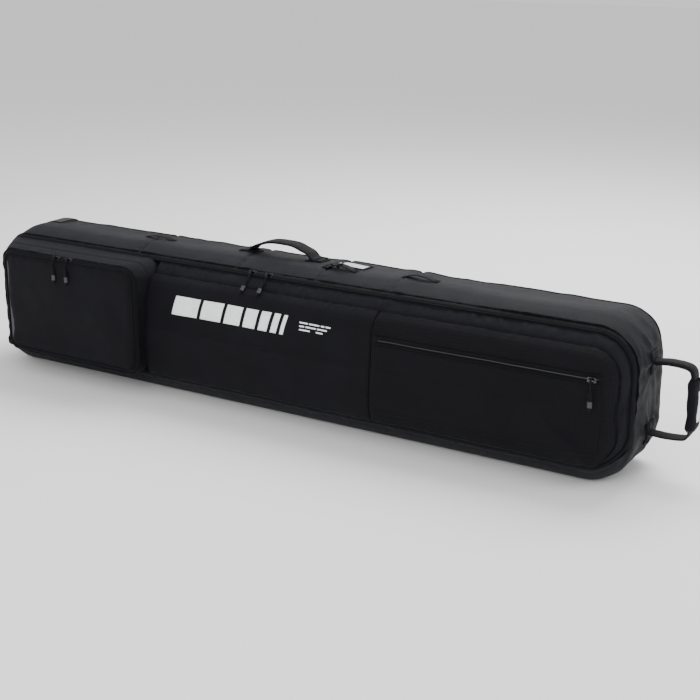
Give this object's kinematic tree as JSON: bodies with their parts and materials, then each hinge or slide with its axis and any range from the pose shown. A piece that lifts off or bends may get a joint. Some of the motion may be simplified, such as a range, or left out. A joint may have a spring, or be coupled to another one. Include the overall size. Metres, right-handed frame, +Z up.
{
  "type": "snowboard bag",
  "caption": "Long padded snowboard bag with a zipped lid, boot pocket, flat pocket, carry handle, tow handle and corner wheels.",
  "frame": {"origin": "on the surface that the bag stands on, under the middle of its padded body, 130 mm in front of the back panel", "axes": "+X along the bag to the tow handle end, -Y the way the front panel and its pockets face, +Z up"},
  "size_m": [1.8009, 0.3096, 0.387],
  "materials": {
    "cover_polyester": "black coated polyester, plain weave",
    "ripstop": "black ripstop weave",
    "foam": "closed-cell foam",
    "lining": "light taffeta lining",
    "zip_tape": "woven tape over a coil zip",
    "slider_metal": "black lacquered",
    "pull_cord": "braided cord",
    "pull_grip": "satin moulded",
    "webbing": "ribbed webbing",
    "label": "pale woven label",
    "binding": "woven binding tape",
    "clear_film": "clear vinyl",
    "tray_plastic": "textured moulded",
    "wheel_urethane": "urethane",
    "steel": "plated"
  },
  "bodies": {
    "root": {"back_panel": "cover_polyester", "top_gusset": "cover_polyester", "bottom_gusset": "cover_polyester", "handle_end_panel": "cover_polyester", "wheel_end_panel": "cover_polyester", "back_foam": "foam", "top_foam": "foam", "bottom_foam": "foam", "handle_end_foam": "foam", "wheel_end_foam": "foam", "tub_lining": "lining", "main_zip_tape_tub": "zip_tape", "wheel_tray": "tray_plastic", "wheel_axles": "steel", "tray_rivets": "steel", "carry_handle_patches": "webbing", "lash_loops": "webbing", "lash_tab": "webbing", "id_frame": "binding", "id_card": "label", "id_window": "clear_film", "tow_handle_patches": "webbing"},
    "lid": {"lid_main_panel": "cover_polyester", "lid_ripstop_panel": "ripstop", "lid_side_band": "cover_polyester", "lid_foam": "foam", "lid_lining": "lining", "main_zip_tape_lid": "zip_tape", "boot_pocket_walls": "cover_polyester", "boot_zip_tape_wall": "zip_tape", "boot_pocket_divider": "lining", "flat_pocket_panel": "ripstop", "flat_zip_tapes": "zip_tape"},
    "boot_flap": {"boot_flap": "cover_polyester", "boot_flap_foam": "foam", "boot_zip_tape_flap": "zip_tape"},
    "carry_handle": {"carry_handle": "webbing"},
    "tow_handle": {"tow_handle_strap": "webbing", "tow_handle_grip": "webbing", "tow_handle_label": "label"},
    "wheel_lower": {"wheel_lower": "wheel_urethane", "wheel_bearings_lower": "steel"},
    "wheel_upper": {"wheel_upper": "wheel_urethane", "wheel_bearings_upper": "steel"},
    "main_left_slider": {"main_left_slider": "slider_metal"},
    "main_left_pull": {"main_left_pull_grip": "pull_grip", "main_left_pull_cord": "pull_cord"},
    "main_right_slider": {"main_right_slider": "slider_metal"},
    "main_right_pull": {"main_right_pull_grip": "pull_grip", "main_right_pull_cord": "pull_cord"},
    "boot_left_slider": {"boot_left_slider": "slider_metal"},
    "boot_left_pull": {"boot_left_pull_grip": "pull_grip", "boot_left_pull_cord": "pull_cord"},
    "boot_right_slider": {"boot_right_slider": "slider_metal"},
    "boot_right_pull": {"boot_right_pull_grip": "pull_grip", "boot_right_pull_cord": "pull_cord"},
    "flat_slider": {"flat_slider": "slider_metal"},
    "flat_pull": {"flat_pull_grip": "pull_grip", "flat_pull_cord": "pull_cord"}
  },
  "joints": [
    {"name": "lid_hinge", "type": "hinge", "parent": "root", "child": "lid", "pos_m": [0, -0.1099, 0.05], "axis": [1, 0, 0], "range_deg": [0, 70]},
    {"name": "boot_flap_hinge", "type": "hinge", "parent": "lid", "child": "boot_flap", "pos_m": [0, -0.15428, 0.06302], "axis": [1, 0, 0], "range_deg": [0, 90]},
    {"name": "carry_handle_tilt", "type": "hinge", "parent": "root", "child": "carry_handle", "pos_m": [-0.065, 0.06, 0.355], "axis": [1, 0, 0], "range_deg": [-50, 50]},
    {"name": "tow_handle_swing", "type": "hinge", "parent": "root", "child": "tow_handle", "pos_m": [0.86, 0.045, 0.1685], "axis": [0, 0, 1], "range_deg": [-50, 50]},
    {"name": "wheel_lower_spin", "type": "hinge", "parent": "root", "child": "wheel_lower", "pos_m": [-0.808, 0.098, 0.068], "axis": [0, 0, 1], "continuous": true},
    {"name": "wheel_upper_spin", "type": "hinge", "parent": "root", "child": "wheel_upper", "pos_m": [-0.808, 0.098, 0.277], "axis": [0, 0, 1], "continuous": true},
    {"name": "main_left_slide", "type": "slide", "parent": "lid", "child": "main_left_slider", "axis": [1, 0, 0], "range_m": [-0.23, 0]},
    {"name": "main_left_pull_swing", "type": "hinge", "parent": "main_left_slider", "child": "main_left_pull", "pos_m": [-0.076, -0.05448, 0.32998], "axis": [-1, 0, 0], "range_deg": [0, 165]},
    {"name": "main_right_slide", "type": "slide", "parent": "lid", "child": "main_right_slider", "axis": [1, 0, 0], "range_m": [0, 0.77]},
    {"name": "main_right_pull_swing", "type": "hinge", "parent": "main_right_slider", "child": "main_right_pull", "pos_m": [-0.03, -0.05448, 0.32998], "axis": [-1, 0, 0], "range_deg": [0, 165]},
    {"name": "boot_left_slide", "type": "slide", "parent": "lid", "child": "boot_left_slider", "axis": [1, 0, 0], "range_m": [-0.145, 0]},
    {"name": "boot_left_pull_swing", "type": "hinge", "parent": "boot_left_slider", "child": "boot_left_pull", "pos_m": [-0.585, -0.15859, 0.32011], "axis": [-1, 0, 0], "range_deg": [0, 150]},
    {"name": "boot_right_slide", "type": "slide", "parent": "lid", "child": "boot_right_slider", "axis": [1, 0, 0], "range_m": [0, 0.155]},
    {"name": "boot_right_pull_swing", "type": "hinge", "parent": "boot_right_slider", "child": "boot_right_pull", "pos_m": [-0.545, -0.15859, 0.32011], "axis": [-1, 0, 0], "range_deg": [0, 150]},
    {"name": "flat_slide", "type": "slide", "parent": "lid", "child": "flat_slider", "axis": [1, 0, 0], "range_m": [-0.48, 0]},
    {"name": "flat_pull_swing", "type": "hinge", "parent": "flat_slider", "child": "flat_pull", "pos_m": [0.785, -0.1283, 0.242], "axis": [-1, 0, 0], "range_deg": [0, 160]}
  ]
}
